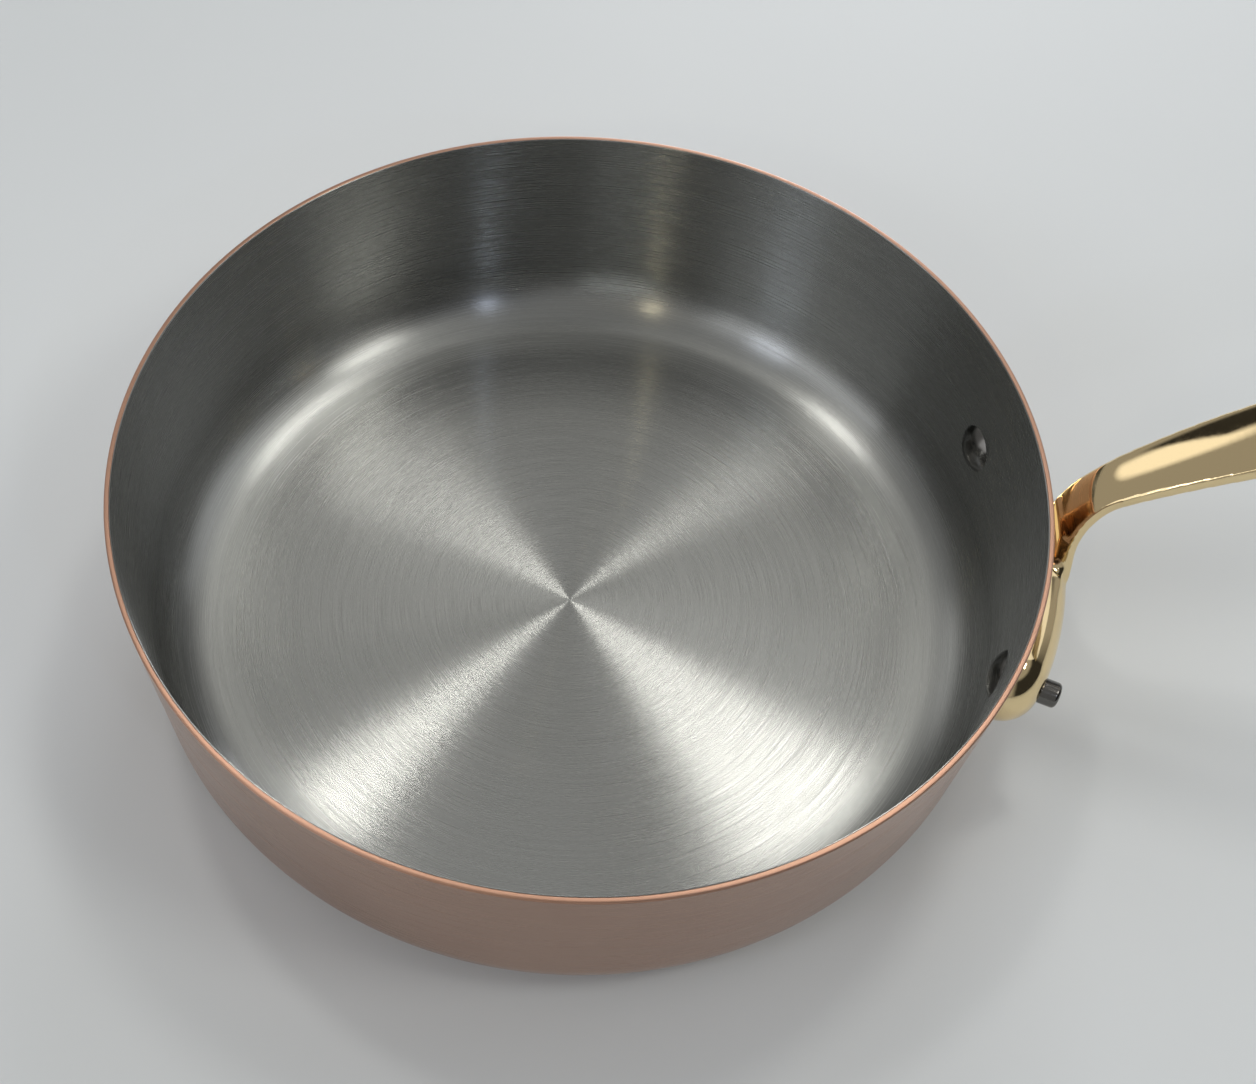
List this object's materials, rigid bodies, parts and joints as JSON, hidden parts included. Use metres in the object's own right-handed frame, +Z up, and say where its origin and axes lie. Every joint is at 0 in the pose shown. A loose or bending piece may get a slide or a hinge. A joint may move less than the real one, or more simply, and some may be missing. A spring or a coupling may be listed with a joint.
{
  "type": "saute pan",
  "caption": "Round straight-sided saute pan with a steel-lined copper body and a long cast brass handle riveted to its wall, with a hanging eye at the end.",
  "frame": {"origin": "middle of the round base, on the face that stands on the stove", "axes": "+Z up along the pan's axis, +X out along the handle"},
  "size_m": [0.4312, 0.2398, 0.1374],
  "materials": {
    "copper": "polished",
    "lining_steel": "brushed in circles",
    "handle_brass": "polished",
    "rivet_steel": "polished"
  },
  "bodies": {
    "root": {"copper_body": "copper", "steel_lining": "lining_steel", "handle": "handle_brass", "rivet_left": "rivet_steel", "rivet_right": "rivet_steel"}
  },
  "joints": []
}
